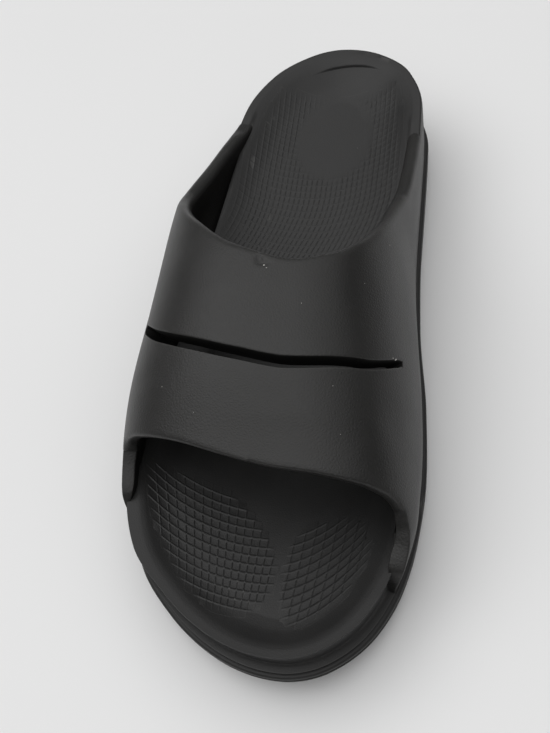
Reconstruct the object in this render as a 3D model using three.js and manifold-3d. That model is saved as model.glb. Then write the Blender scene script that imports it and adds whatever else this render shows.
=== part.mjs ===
// Sport slide sandal for the right foot: a moulded foam strap on a contoured footbed and an outsole.
// Millimetres, +Z up. The toe points to -Y, the big-toe (medial) side is +X, and the floor is Z = 0.
// "Along" is a share of the length from the back of the heel (0) to the tip of the toe (1).

import * as THREE from 'three';
import { mergeVertices } from 'three/addons/utils/BufferGeometryUtils.js';
import Module from 'manifold-3d';

const wasm = await Module();
wasm.setup();

// Overall sizes
const shoeLength = 286;
const ballWidth = 111;
const rimHeight = 41; // floor to the top of the heel rim
const strapHeight = 82; // floor to the top of the strap at its back edge

// Walls, edges and clearances
const strapWall = 5.8;
const slotWidth = 3.6;
const footRound = 0.4; // half the rounding of the strap's edges down at its feet
const seatReach = 8; // how far out the strap's seat is cleared from the sides of the midsole
const glueGap = 0.3; // between pieces that are bonded face to face
const lipProud = 1.6; // how far the outsole lip stands out past the pieces above it
const rimInset = 4.2; // from the widest outline in to the crest of the rim
const rimRound = 1.3; // how far the crest of the rim is rounded over, to each side
const soleEdgeRound = 4.5; // the rounded lower edge of the outsole
const faceInset = 9; // from the outline in to where the flat faces of the sole are divided
const beltDepth = 0.8; // the groove that runs round the side of the outsole
const beltHeight = 1.6;
const treadDepth = 2.4;
const treadGroove = 3.2;
const treadPitch = 11.5;
const treadBorder = 9; // uncut margin between the tread grooves and the edge

// How finely the curved pieces are divided
const turnSteps = 76;
const strapStepsAround = 46;
const strapStepsAlong = 8;
const edgeSteps = 4;
const finestDetail = 0.02;

// The widest outline seen from above, as it turns from the back of the heel (0) to the tip of the
// toe (180 degrees). Both sides are shares of the ball width, measured from the long axis.
const outlineRows = [
  { turn: 0, lateral: -0.018, medial: 0.018 },
  { turn: 15, lateral: 0.130, medial: 0.180 },
  { turn: 30, lateral: 0.272, medial: 0.312 },
  { turn: 45, lateral: 0.360, medial: 0.376 },
  { turn: 60, lateral: 0.396, medial: 0.388 },
  { turn: 75, lateral: 0.430, medial: 0.390 },
  { turn: 90, lateral: 0.472, medial: 0.406 },
  { turn: 105, lateral: 0.510, medial: 0.446 },
  { turn: 120, lateral: 0.536, medial: 0.463 },
  { turn: 135, lateral: 0.474, medial: 0.438 },
  { turn: 150, lateral: 0.306, medial: 0.357 },
  { turn: 165, lateral: 0.115, medial: 0.228 },
  { turn: 180, lateral: -0.074, medial: 0.074 },
];

// Heights of the sole along its length, as shares of the rim height: the underside, the seam between
// outsole and midsole, the crest of the rim and the floor of the footbed. The bowl is the width of
// the slope from the crest down to the footbed, as a share of the ball width.
const soleRows = [
  { along: 0.00, ground: 0.170, seam: 0.470, rim: 0.990, footbed: 0.800, bowl: 0.160 },
  { along: 0.06, ground: 0.035, seam: 0.430, rim: 1.000, footbed: 0.770, bowl: 0.165 },
  { along: 0.11, ground: 0.000, seam: 0.405, rim: 1.000, footbed: 0.755, bowl: 0.170 },
  { along: 0.20, ground: 0.000, seam: 0.380, rim: 0.975, footbed: 0.760, bowl: 0.165 },
  { along: 0.27, ground: 0.000, seam: 0.370, rim: 0.935, footbed: 0.755, bowl: 0.150 },
  { along: 0.38, ground: 0.050, seam: 0.355, rim: 0.860, footbed: 0.710, bowl: 0.130 },
  { along: 0.50, ground: 0.050, seam: 0.335, rim: 0.770, footbed: 0.640, bowl: 0.110 },
  { along: 0.60, ground: 0.000, seam: 0.310, rim: 0.700, footbed: 0.570, bowl: 0.095 },
  { along: 0.70, ground: 0.000, seam: 0.290, rim: 0.645, footbed: 0.515, bowl: 0.085 },
  { along: 0.81, ground: 0.000, seam: 0.285, rim: 0.622, footbed: 0.495, bowl: 0.075 },
  { along: 0.90, ground: 0.080, seam: 0.320, rim: 0.650, footbed: 0.515, bowl: 0.070 },
  { along: 1.00, ground: 0.290, seam: 0.430, rim: 0.740, footbed: 0.600, bowl: 0.070 },
];

// The arch that the strap is cut from, along the shoe. The top is a share of the strap height; the
// ridge and the half spans to each side of it are shares of the ball width. A higher square number
// gives straighter sides and a flatter top.
const archRows = [
  { along: 0.17, top: 1.075, ridge: 0.009, lateral: 0.375, medial: 0.374, squareLateral: 2.6, squareMedial: 2.3 },
  { along: 0.31, top: 1.075, ridge: 0.027, lateral: 0.485, medial: 0.361, squareLateral: 2.7, squareMedial: 2.3 },
  { along: 0.42, top: 1.055, ridge: 0.045, lateral: 0.562, medial: 0.340, squareLateral: 2.8, squareMedial: 2.2 },
  { along: 0.50, top: 1.030, ridge: 0.054, lateral: 0.570, medial: 0.352, squareLateral: 2.8, squareMedial: 2.2 },
  { along: 0.58, top: 0.996, ridge: 0.058, lateral: 0.578, medial: 0.368, squareLateral: 2.8, squareMedial: 2.2 },
  { along: 0.70, top: 0.896, ridge: 0.068, lateral: 0.604, medial: 0.389, squareLateral: 2.8, squareMedial: 2.2 },
  { along: 0.80, top: 0.763, ridge: 0.074, lateral: 0.588, medial: 0.393, squareLateral: 2.8, squareMedial: 2.45 },
  { along: 0.90, top: 0.655, ridge: 0.081, lateral: 0.500, medial: 0.345, squareLateral: 2.6, squareMedial: 2.8 },
];

// The edges of the strap by their place around it, from the lateral seam (0) over the top to the
// medial seam (1), each as a share along the shoe.
const edgeRows = [
  { around: 0.000, front: 0.815, back: 0.175 },
  { around: 0.050, front: 0.812, back: 0.180 },
  { around: 0.090, front: 0.787, back: 0.192 },
  { around: 0.130, front: 0.757, back: 0.222 },
  { around: 0.165, front: 0.755, back: 0.285 },
  { around: 0.210, front: 0.760, back: 0.353 },
  { around: 0.265, front: 0.770, back: 0.422 },
  { around: 0.345, front: 0.784, back: 0.487 },
  { around: 0.450, front: 0.802, back: 0.546 },
  { around: 0.560, front: 0.814, back: 0.570 },
  { around: 0.680, front: 0.817, back: 0.535 },
  { around: 0.780, front: 0.816, back: 0.440 },
  { around: 0.830, front: 0.822, back: 0.355 },
  { around: 0.870, front: 0.842, back: 0.262 },
  { around: 0.910, front: 0.872, back: 0.205 },
  { around: 0.950, front: 0.892, back: 0.188 },
  { around: 1.000, front: 0.895, back: 0.180 },
];

// The line of the slot across the strap, by its place around the strap.
const slotRows = [
  { around: 0.225, along: 0.617 },
  { around: 0.375, along: 0.663 },
  { around: 0.565, along: 0.690 },
  { around: 0.700, along: 0.671 },
  { around: 0.830, along: 0.622 },
];

// The wall of the strap along the shoe, as a share of its full thickness: heavier where it grows out
// of the rim at the back, thinner at its front tips.
const wallRows = [
  { along: 0.17, wall: 1.30 },
  { along: 0.30, wall: 1.00 },
  { along: 0.74, wall: 1.00 },
  { along: 0.84, wall: 0.72 },
  { along: 0.90, wall: 0.62 },
];

// The medial arch support, a swell on the footbed
const archSwell = { along: 0.385, reach: 0.15, height: 5.5 };

// Reads one column of a table at a place, on a smooth curve through the rows that never swings past
// them, so a level stretch stays level.
function read(rows, key, column, at) {
  const last = rows.length - 1;
  let i = 0;
  while (i < last - 1 && at > rows[i + 1][key]) i++;
  const rise = (k) => (rows[k + 1][column] - rows[k][column]) / (rows[k + 1][key] - rows[k][key]);
  const slope = (k) => {
    if (k === 0) return rise(0);
    if (k === last) return rise(last - 1);
    const [before, after] = [rise(k - 1), rise(k)];
    return before * after <= 0 ? 0 : 2 * before * after / (before + after);
  };
  const span = rows[i + 1][key] - rows[i][key];
  const t = THREE.MathUtils.clamp((at - rows[i][key]) / span, 0, 1);
  const t2 = t * t;
  const t3 = t2 * t;
  return (2 * t3 - 3 * t2 + 1) * rows[i][column] + (t3 - 2 * t2 + t) * span * slope(i)
    + (3 * t2 - 2 * t3) * rows[i + 1][column] + (t3 - t2) * span * slope(i + 1);
}

const alongOf = (y) => 0.5 - y / shoeLength;
const yOf = (along) => (0.5 - along) * shoeLength;
const soleHeight = (column, y) => rimHeight * read(soleRows, 'along', column, alongOf(y));

// A point of the widest outline. Turn runs from 0 to 360 degrees, down the lateral side to the toe at
// 180 and back up the medial side.
function outlinePoint(turn) {
  const medial = turn > 180;
  const half = medial ? 360 - turn : turn;
  const side = read(outlineRows, 'turn', medial ? 'medial' : 'lateral', half) * ballWidth;
  return new THREE.Vector2(medial ? side : -side, shoeLength / 2 * Math.cos(THREE.MathUtils.degToRad(half)));
}

// The outward direction of the outline.
function outlineNormal(turn) {
  const step = 0.5;
  const wrap = (angle) => (angle + 360) % 360;
  const ahead = outlinePoint(wrap(turn + step)).sub(outlinePoint(wrap(turn - step)));
  return new THREE.Vector2(ahead.y, -ahead.x).normalize();
}

function insetPoint(turn, inset) {
  return outlinePoint(turn).addScaledVector(outlineNormal(turn), -inset);
}

// The middle line that the rings of a face close on.
const spineEnd = 26; // from the ends of the shoe to the ends of that line
function spinePoint(turn) {
  const middle = outlinePoint(turn).add(outlinePoint((360 - turn) % 360)).multiplyScalar(0.5);
  return new THREE.Vector2(middle.x, middle.y * (1 - 2 * spineEnd / shoeLength));
}

const turns = Array.from({ length: turnSteps }, (_, i) => 360 * i / turnSteps);

// One ring round the sole: an inset from the outline, and a height that may follow its place.
const ringAt = (inset, height) => turns.map((turn) => {
  const p = insetPoint(turn, typeof inset === 'function' ? inset(turn) : inset);
  return new THREE.Vector3(p.x, p.y, height(p.x, p.y, turn));
});

// One ring on the way from an inset ring to the middle line.
const innerRing = (inset, share, height) => turns.map((turn) => {
  const p = insetPoint(turn, typeof inset === 'function' ? inset(turn) : inset).lerp(spinePoint(turn), share);
  return new THREE.Vector3(p.x, p.y, height(p.x, p.y, turn));
});

// Turns triangles of points into a solid.
function solidFrom(triangles) {
  const positions = new Float32Array(triangles.flatMap((t) => t.flatMap((p) => [p.x, p.y, p.z])));
  const loose = new THREE.BufferGeometry();
  loose.setAttribute('position', new THREE.BufferAttribute(positions, 3));
  const merged = mergeVertices(loose, 1e-3);
  const index = Array.from(merged.index.array);
  const kept = [];
  for (let i = 0; i < index.length; i += 3) {
    const [a, b, c] = index.slice(i, i + 3);
    if (a !== b && b !== c && c !== a) kept.push(a, b, c);
  }
  return new wasm.Manifold(new wasm.Mesh({
    numProp: 3,
    vertProperties: merged.attributes.position.array,
    triVerts: new Uint32Array(kept),
  }));
}

// Joins rings of equal length, wrapping each ring round on itself and splitting each facet across
// its shorter diagonal.
function bandTriangles(rings) {
  const triangles = [];
  for (let r = 0; r < rings.length - 1; r++) {
    const count = rings[r].length;
    for (let i = 0; i < count; i++) {
      const next = (i + 1) % count;
      const [a, b, c, d] = [rings[r][i], rings[r][next], rings[r + 1][next], rings[r + 1][i]];
      if (a.distanceTo(c) < b.distanceTo(d)) triangles.push([a, b, c], [a, c, d]);
      else triangles.push([a, b, d], [b, c, d]);
    }
  }
  return triangles;
}

const flipped = (triangles) => triangles.map(([a, b, c]) => [a, c, b]);
const quad = ([a, b, c, d]) => [[a, b, c], [a, c, d]];

// A cutter of four sides, closed at both ends.
const channelSolid = (loops) => solidFrom([
  ...flipped(bandTriangles(loops)), ...quad(loops[0]), ...flipped(quad(loops[loops.length - 1])),
]);

// The height of the footbed, with its support under the medial arch.
function footbedHeight(x, y) {
  const along = (alongOf(y) - archSwell.along) / archSwell.reach;
  const across = THREE.MathUtils.smoothstep(x, 0, 0.36 * ballWidth);
  return soleHeight('footbed', y) + archSwell.height * across * Math.exp(-along * along);
}

// Outsole: the bottom unit with its tread, rounded edge, belt groove and lip.
function outsoleSolid() {
  const ground = (x, y) => soleHeight('ground', y);
  const seam = (x, y) => soleHeight('seam', y);
  const between = (share) => (x, y) => ground(x, y) + share * (seam(x, y) - ground(x, y));
  const under = (drop) => (x, y) => seam(x, y) - drop;
  const rings = [
    innerRing(faceInset, 1, ground),
    innerRing(faceInset, 0.5, ground),
    ringAt(faceInset, ground),
    ringAt(soleEdgeRound, ground),
    ringAt(soleEdgeRound * 0.42, between(0.12)),
    ringAt(soleEdgeRound * 0.12, between(0.34)),
    ringAt(0.2, under(beltHeight * 2.4)),
    ringAt(0.2 + beltDepth, under(beltHeight * 2)),
    ringAt(0.2 + beltDepth, under(beltHeight * 1.4)),
    ringAt(0, under(beltHeight)),
    ringAt(0.2, under(0.5)),
    ringAt(lipProud, seam),
    ringAt(faceInset, seam),
    innerRing(faceInset, 0.5, seam),
    innerRing(faceInset, 1, seam),
  ];
  return solidFrom(bandTriangles(rings)).subtract(treadSolid()).simplify(finestDetail);
}

// A curved groove across the underside, bowed towards the toe and kept inside the tread border.
function grooveSolid(y) {
  const bow = 7;
  const steps = 10;
  const half = Math.acos(THREE.MathUtils.clamp(2 * y / shoeLength, -1, 1)) * 180 / Math.PI;
  const left = insetPoint(half, treadBorder).x;
  const right = insetPoint(360 - half, treadBorder).x;
  const loops = [];
  for (let i = 0; i <= steps; i++) {
    const share = i / steps;
    const x = THREE.MathUtils.lerp(left, right, share);
    const middle = y - bow * Math.sin(Math.PI * share) + bow / 2;
    const top = soleHeight('ground', middle) + treadDepth;
    const bottom = soleHeight('ground', middle) - treadDepth;
    const [wide, narrow] = [treadGroove / 2, treadGroove / 3];
    loops.push([
      new THREE.Vector3(x, middle - wide * 1.6, bottom),
      new THREE.Vector3(x, middle - narrow, top),
      new THREE.Vector3(x, middle + narrow, top),
      new THREE.Vector3(x, middle + wide * 1.6, bottom),
    ]);
  }
  return channelSolid(loops);
}

// All the tread grooves, in a heel field and a forefoot field.
function treadSolid() {
  const fields = [{ from: 0.10, to: 0.33 }, { from: 0.545, to: 0.93 }];
  const grooves = [];
  for (const field of fields) {
    for (let y = yOf(field.from); y >= yOf(field.to); y -= treadPitch) grooves.push(grooveSolid(y));
  }
  return grooves.reduce((all, groove) => all.add(groove));
}

// Midsole: the footbed with its rim, before the strap's seat is cut from its sides.
function midsoleBlank() {
  const seat = (x, y) => soleHeight('seam', y) + glueGap;
  const rim = (x, y) => soleHeight('rim', y);
  const side = (share) => (x, y) => seat(x, y) + share * (rim(x, y) - seat(x, y));
  const bowl = (turn) => read(soleRows, 'along', 'bowl', alongOf(outlinePoint(turn).y)) * ballWidth;
  const slope = (down) => (x, y) => THREE.MathUtils.lerp(rim(x, y), footbedHeight(x, y), down);
  const innerEdge = (turn) => rimInset + rimRound + bowl(turn);
  const rings = [
    innerRing(faceInset, 1, seat),
    innerRing(faceInset, 0.5, seat),
    ringAt(faceInset, seat),
    ringAt(lipProud, seat),
    ringAt(lipProud + 0.1, side(0.45)),
    ringAt(lipProud + 0.7, side(0.75)),
    ringAt(rimInset - rimRound, side(0.93)),
    ringAt(rimInset - rimRound * 0.5, side(0.985)),
    ringAt(rimInset, rim),
    ringAt(rimInset + rimRound, slope(0.06)),
    ringAt((turn) => rimInset + rimRound + bowl(turn) * 0.18, slope(0.24)),
    ringAt((turn) => rimInset + rimRound + bowl(turn) * 0.42, slope(0.60)),
    ringAt((turn) => rimInset + rimRound + bowl(turn) * 0.70, slope(0.90)),
    ringAt(innerEdge, footbedHeight),
    innerRing(innerEdge, 0.3, footbedHeight),
    innerRing(innerEdge, 0.65, footbedHeight),
    innerRing(innerEdge, 1, footbedHeight),
  ];
  return solidFrom(bandTriangles(rings));
}

// Side of the sole at a place along it, set in by a distance: negative x on the lateral side.
function sideX(y, inset, medial) {
  const half = THREE.MathUtils.radToDeg(Math.acos(THREE.MathUtils.clamp(2 * y / shoeLength, -1, 1)));
  const turn = medial ? 360 - half : half;
  return outlinePoint(turn).x - inset / outlineNormal(turn).x;
}

// A point of the strap's outer arch at a place along the shoe. Phi runs from the lateral base (0)
// over the ridge (90) to the medial base (180 degrees).
function archPoint(y, phi) {
  const row = (column) => read(archRows, 'along', column, alongOf(y));
  const medial = phi > 90;
  const angle = THREE.MathUtils.degToRad(medial ? 180 - phi : phi);
  const power = 2 / row(medial ? 'squareMedial' : 'squareLateral');
  const half = row(medial ? 'medial' : 'lateral') * ballWidth;
  const base = soleHeight('seam', y) + glueGap;
  const top = row('top') * strapHeight;
  const z = base + (top - base) * Math.sin(angle) ** power;
  const reach = row('ridge') * ballWidth + (medial ? 1 : -1) * half * Math.max(Math.cos(angle), 0) ** power;
  const sole = sideX(y, lipProud, medial);
  const blendTop = soleHeight('rim', y) + 8;
  return new THREE.Vector3(THREE.MathUtils.lerp(sole, reach, THREE.MathUtils.smoothstep(z, base, blendTop)), y, z);
}

// The same point by its share of the girth, so that steps round the strap are even.
function strapPoint(y, around) {
  const steps = 60;
  const points = Array.from({ length: steps + 1 }, (_, i) => archPoint(y, 180 * i / steps));
  const lengths = [0];
  for (let i = 1; i <= steps; i++) lengths.push(lengths[i - 1] + points[i].distanceTo(points[i - 1]));
  const goal = around * lengths[steps];
  let i = 0;
  while (i < steps - 1 && lengths[i + 1] < goal) i++;
  return points[i].clone().lerp(points[i + 1], (goal - lengths[i]) / (lengths[i + 1] - lengths[i]));
}

// The outward direction of the strap at a point.
function strapNormal(y, around) {
  const step = 0.01;
  const low = Math.max(around - step, 0);
  const high = Math.min(around + step, 1);
  const across = strapPoint(y, high).sub(strapPoint(y, low));
  const lengthwise = strapPoint(y - 1, around).sub(strapPoint(y + 1, around));
  return lengthwise.cross(across).normalize();
}

// How a strap wall is grown: gap widens it inwards and at its edges, reach moves its outer face
// out, and a lower edge number gives squarer edges.
const strapItself = { gap: 0, reach: 0, edge: 1 };
const strapSeat = { gap: glueGap, reach: seatReach, edge: 0.15 };

// One loop round the strap's wall at a place around it: along the outer face from front to back,
// over the back edge, and along the inner face to the front.
function strapLoop(around, grown) {
  const wallAt = (y) => strapWall * read(wallRows, 'along', 'wall', alongOf(y));
  const nearBase = THREE.MathUtils.smoothstep(Math.min(around, 1 - around), 0.05, 0.14);
  const edge = (column, direction) => {
    const tip = yOf(read(edgeRows, 'around', column, around));
    const wall = wallAt(tip);
    const round = THREE.MathUtils.lerp(footRound, wall / 2, nearBase);
    const step = 0.004;
    const low = Math.max(around - step, 0);
    const high = Math.min(around + step, 1);
    const run = strapPoint(yOf(read(edgeRows, 'around', column, high)), high)
      .sub(strapPoint(yOf(read(edgeRows, 'around', column, low)), low)).normalize();
    const outward = run.cross(strapNormal(tip, around)).normalize();
    if (outward.y * direction < 0) outward.negate();
    const start = tip - direction * round / Math.max(Math.abs(outward.y), 0.3);
    const normal = strapNormal(start, around);
    const thick = wallAt(start) + grown.gap + grown.reach;
    const centre = strapPoint(start, around).addScaledVector(normal, grown.reach - thick / 2);
    return { start, normal, outward, centre, half: thick / 2, round: round + grown.gap };
  };
  const front = edge('front', -1);
  const rear = edge('back', 1);
  const row = (offset) => Array.from({ length: strapStepsAlong + 1 }, (_, i) => {
    const y = THREE.MathUtils.lerp(front.start, rear.start, i / strapStepsAlong);
    return strapPoint(y, around).addScaledVector(strapNormal(y, around), offset(y));
  });
  const squared = (value) => Math.sign(value) * Math.abs(value) ** grown.edge;
  const cap = (end, sign) => Array.from({ length: edgeSteps - 1 }, (_, i) => {
    const angle = Math.PI * (i + 1) / edgeSteps;
    return end.centre.clone().addScaledVector(end.normal, sign * end.half * squared(Math.cos(angle)))
      .addScaledVector(end.outward, end.round * squared(Math.sin(angle)));
  });
  const outer = row(() => grown.reach);
  const inner = row((y) => -wallAt(y) - grown.gap).reverse();
  const loop = [...outer, ...cap(rear, 1), ...inner, ...cap(front, -1)];
  if (around === 0 || around === 1) {
    for (const p of loop) p.z = soleHeight('seam', p.y) + glueGap - 2 * grown.gap;
  }
  return loop;
}

// The strap's wall as one solid from seam to seam.
function strapBlank(grown) {
  const loops = Array.from({ length: strapStepsAround + 1 }, (_, i) => (
    strapLoop(i / strapStepsAround, grown)));
  const count = loops[0].length;
  const rows = strapStepsAlong + 1;
  const capTriangles = (loop) => {
    const opposite = (i) => (rows + edgeSteps - 1 + rows - 1 - i);
    const triangles = [];
    for (let i = 0; i < rows - 1; i++) {
      triangles.push(...quad([loop[i], loop[i + 1], loop[opposite(i + 1)], loop[opposite(i)]]));
    }
    const fan = (from) => {
      for (let i = 1; i < edgeSteps; i++) {
        triangles.push([loop[from], loop[(from + i) % count], loop[(from + i + 1) % count]]);
      }
    };
    fan(rows - 1);
    fan(2 * rows + edgeSteps - 2);
    return triangles;
  };
  const start = capTriangles(loops[0]);
  const finish = capTriangles(loops[strapStepsAround]);
  return solidFrom([...flipped(bandTriangles(loops)), ...start, ...flipped(finish)]);
}

// The slot across the strap, with rounded ends.
function slotSolid() {
  const steps = 26;
  const reachOut = 4;
  const first = slotRows[0].around;
  const last = slotRows[slotRows.length - 1].around;
  const loops = [];
  for (let i = 0; i <= steps; i++) {
    const share = i / steps;
    const around = THREE.MathUtils.lerp(first, last, share);
    const y = yOf(read(slotRows, 'around', 'along', around));
    const fromMiddle = Math.abs(2 * share - 1);
    const half = Math.max(slotWidth / 2 * Math.sqrt(1 - fromMiddle ** 24), 0.3);
    const normal = strapNormal(y, around);
    const corner = (offset, depth) => strapPoint(y + offset, around).addScaledVector(normal, depth);
    loops.push([
      corner(-half, reachOut), corner(half, reachOut),
      corner(half, -strapWall - reachOut), corner(-half, -strapWall - reachOut),
    ]);
  }
  return channelSolid(loops);
}

function meshOf(name, solid, material) {
  const { numProp, vertProperties, triVerts, numVert } = solid.getMesh();
  const positions = new Float32Array(numVert * 3);
  for (let i = 0; i < numVert; i++) {
    positions.set(vertProperties.subarray(i * numProp, i * numProp + 3), i * 3);
  }
  const geometry = new THREE.BufferGeometry();
  geometry.setAttribute('position', new THREE.BufferAttribute(positions, 3));
  geometry.setIndex(new THREE.BufferAttribute(triVerts, 1));
  geometry.computeVertexNormals();
  const mesh = new THREE.Mesh(geometry, material);
  mesh.name = name;
  return mesh;
}

const foam = (color, roughness) => new THREE.MeshStandardMaterial({ color, roughness, metalness: 0 });

const sandal = new THREE.Group();
sandal.add(meshOf('outsole', outsoleSolid(), foam(0x1b1b1d, 0.62)));
sandal.add(meshOf('midsole', midsoleBlank().subtract(strapBlank(strapSeat)), foam(0x232325, 0.58)));
sandal.add(meshOf('upper', strapBlank(strapItself).subtract(slotSolid()), foam(0x262526, 0.5)));

// The origin is under the middle of the widest outline, on the floor.
const extent = new THREE.Box3().setFromObject(sandal);
const middle = extent.getCenter(new THREE.Vector3());
for (const piece of sandal.children) piece.geometry.translate(-middle.x, -middle.y, -extent.min.z);

export default sandal;
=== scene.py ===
"""Looks of a right-foot foam slide: the strap, the footbed with its moulded grid, the outsole,
their foam finishes, and a plain pale studio. Metres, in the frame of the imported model."""

import math

import bmesh
import bpy
import numpy as np
from mathutils import Euler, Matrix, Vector
from mathutils.bvhtree import BVHTree


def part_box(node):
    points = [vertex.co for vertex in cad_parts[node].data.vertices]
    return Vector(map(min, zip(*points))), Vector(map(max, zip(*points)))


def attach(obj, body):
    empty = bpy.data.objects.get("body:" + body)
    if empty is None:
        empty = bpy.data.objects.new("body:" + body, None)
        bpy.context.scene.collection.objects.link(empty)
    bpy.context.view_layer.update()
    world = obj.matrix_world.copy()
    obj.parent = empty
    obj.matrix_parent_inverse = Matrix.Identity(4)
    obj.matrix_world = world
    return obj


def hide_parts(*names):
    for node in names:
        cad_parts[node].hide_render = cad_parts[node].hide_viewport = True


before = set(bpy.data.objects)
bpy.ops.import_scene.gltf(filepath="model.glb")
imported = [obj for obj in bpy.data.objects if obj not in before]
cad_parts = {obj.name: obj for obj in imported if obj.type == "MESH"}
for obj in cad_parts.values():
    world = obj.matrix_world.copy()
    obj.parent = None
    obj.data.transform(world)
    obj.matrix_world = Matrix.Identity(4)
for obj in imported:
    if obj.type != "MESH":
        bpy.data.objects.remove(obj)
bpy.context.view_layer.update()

bl_info = {
    "name": "Foam slide sandal",
    "version": (1, 0, 0),
    "blender": (4, 5, 0),
    "location": "View3D > Sidebar > Sandal",
    "description": "Builds the strap, footbed, outsole and finishes of a moulded foam slide",
    "category": "Mesh",
}

MM = 0.001
SOLE_LOW, SOLE_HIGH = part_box("outsole")


class Table:
    """Rows of named columns, read on a smooth curve that never swings past a row."""

    def __init__(self, names, *rows):
        values = np.array(rows, float).T
        self.keys = values[0]
        self.columns = dict(zip(names.split()[1:], values[1:]))
        self.slopes = {name: self.slope(column) for name, column in self.columns.items()}

    def slope(self, column):
        """The slope of the curve at each row."""
        rise = np.diff(column) / np.diff(self.keys)
        before, after = rise[:-1], rise[1:]
        turning = before * after <= 0
        inner = np.where(turning, 0.0, 2 * before * after / np.where(turning, 1.0, before + after))
        return np.concatenate([rise[:1], inner, rise[-1:]])

    def read(self, name, at):
        """The value of one column at a place, or at many."""
        keys, column, slope = self.keys, self.columns[name], self.slopes[name]
        at = np.clip(np.asarray(at, float), keys[0], keys[-1])
        cell = np.clip(np.searchsorted(keys, at, side="right") - 1, 0, len(keys) - 2)
        span = keys[cell + 1] - keys[cell]
        t = (at - keys[cell]) / span
        t2, t3 = t * t, t * t * t
        return (
            (2 * t3 - 3 * t2 + 1) * column[cell]
            + (t3 - 2 * t2 + t) * span * slope[cell]
            + (3 * t2 - 2 * t3) * column[cell + 1]
            + (t3 - t2) * span * slope[cell + 1]
        )


# The widest outline from the back of the heel (0) to the tip of the toe (180), in ball widths.
OUTLINE = Table(
    "turn lateral medial",
    (0, -0.018, 0.018), (15, 0.13, 0.186), (30, 0.272, 0.322), (45, 0.36, 0.384),
    (60, 0.396, 0.388), (75, 0.43, 0.39), (90, 0.472, 0.406), (105, 0.51, 0.446),
    (118, 0.535, 0.461), (128, 0.499, 0.447), (138, 0.436, 0.415), (150, 0.302, 0.347),
    (165, 0.115, 0.222), (180, -0.074, 0.074),
)

# Heights of the sole from heel (0) to toe (1), in rim heights; the bowl is in ball widths. Flare
# is how far the rim hangs over the side, and spread is how far the lateral rim is set outwards,
# both in rim insets.
SOLE = Table(
    "along ground seam rim footbed bowl flare spread",
    (0.00, 0.170, 0.470, 0.985, 0.820, 0.195, 0.00, 0.00),
    (0.06, 0.035, 0.430, 0.995, 0.790, 0.200, 0.00, 0.00),
    (0.11, 0.000, 0.405, 1.000, 0.775, 0.195, 0.00, 0.00),
    (0.20, 0.000, 0.380, 0.975, 0.765, 0.175, 0.00, 0.00),
    (0.27, 0.000, 0.370, 0.935, 0.755, 0.150, 0.00, 0.00),
    (0.38, 0.050, 0.355, 0.860, 0.710, 0.130, 0.00, 0.00),
    (0.50, 0.050, 0.335, 0.770, 0.640, 0.110, 0.00, 0.00),
    (0.60, 0.000, 0.310, 0.700, 0.572, 0.100, 0.00, 0.00),
    (0.70, 0.000, 0.290, 0.645, 0.532, 0.100, 0.00, 0.00),
    (0.78, 0.000, 0.285, 0.624, 0.522, 0.100, 0.05, 0.15),
    (0.82, 0.010, 0.287, 0.624, 0.524, 0.100, 0.32, 0.38),
    (0.87, 0.050, 0.303, 0.638, 0.537, 0.100, 0.38, 0.32),
    (0.93, 0.130, 0.343, 0.676, 0.574, 0.100, 0.41, 0.02),
    (1.00, 0.290, 0.430, 0.755, 0.655, 0.100, 0.42, 0.00),
)

# The arch that the strap follows: top in strap heights, ridge and half spans in ball widths.
ARCH = Table(
    "along top ridge lateral medial square_lateral square_medial",
    (0.17, 1.075, 0.009, 0.375, 0.374, 2.6, 2.3),
    (0.31, 1.075, 0.027, 0.470, 0.361, 2.7, 2.3),
    (0.42, 1.055, 0.045, 0.552, 0.340, 2.8, 2.2),
    (0.50, 1.030, 0.054, 0.570, 0.352, 2.8, 2.2),
    (0.58, 0.996, 0.058, 0.578, 0.368, 2.8, 2.2),
    (0.70, 0.896, 0.068, 0.604, 0.389, 2.8, 2.2),
    (0.80, 0.763, 0.074, 0.588, 0.393, 2.8, 2.45),
    (0.90, 0.655, 0.081, 0.500, 0.345, 2.6, 2.8),
)

# The strap's edges by their place round it, from the lateral foot (0) to the medial foot (1).
EDGES = Table(
    "around front back",
    (0.0, 0.816, 0.153), (0.05, 0.815, 0.155), (0.09, 0.804, 0.156), (0.115, 0.772, 0.161),
    (0.13, 0.757, 0.177), (0.165, 0.755, 0.264), (0.21, 0.76, 0.353), (0.265, 0.77, 0.422),
    (0.345, 0.784, 0.487), (0.45, 0.802, 0.546), (0.56, 0.814, 0.569), (0.62, 0.816, 0.555),
    (0.68, 0.817, 0.517), (0.73, 0.816, 0.472), (0.78, 0.816, 0.418), (0.83, 0.822, 0.342),
    (0.86, 0.838, 0.254), (0.885, 0.858, 0.189), (0.91, 0.879, 0.176), (0.95, 0.884, 0.172),
    (1.0, 0.884, 0.17),
)

# The middle line of the slot, by its place round the strap.
SLOT = Table(
    "around along open",
    (0.225, 0.616, 0.45), (0.234, 0.62, 1.05), (0.3, 0.65, 1.15), (0.375, 0.672, 1.15),
    (0.47, 0.69, 1.1), (0.565, 0.7, 1.05), (0.7, 0.682, 0.9), (0.791, 0.65, 0.75),
    (0.803, 0.645, 0.4),
)

# The strap's wall along the shoe at each side, as a share of its full thickness.
WALL = Table(
    "along lateral medial",
    (0.15, 1.18, 1.0), (0.21, 1.15, 1.0), (0.3, 1.0, 1.0), (0.73, 1.0, 1.0), (0.765, 0.84, 0.9),
    (0.785, 0.82, 0.8), (0.799, 0.68, 0.72), (0.808, 0.4, 0.74), (0.816, 0.14, 0.78),
    (0.84, 0.12, 0.92), (0.86, 0.12, 1.02), (0.874, 0.12, 0.92), (0.883, 0.12, 0.62),
    (0.89, 0.12, 0.3), (0.9, 0.12, 0.16),
)

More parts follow.
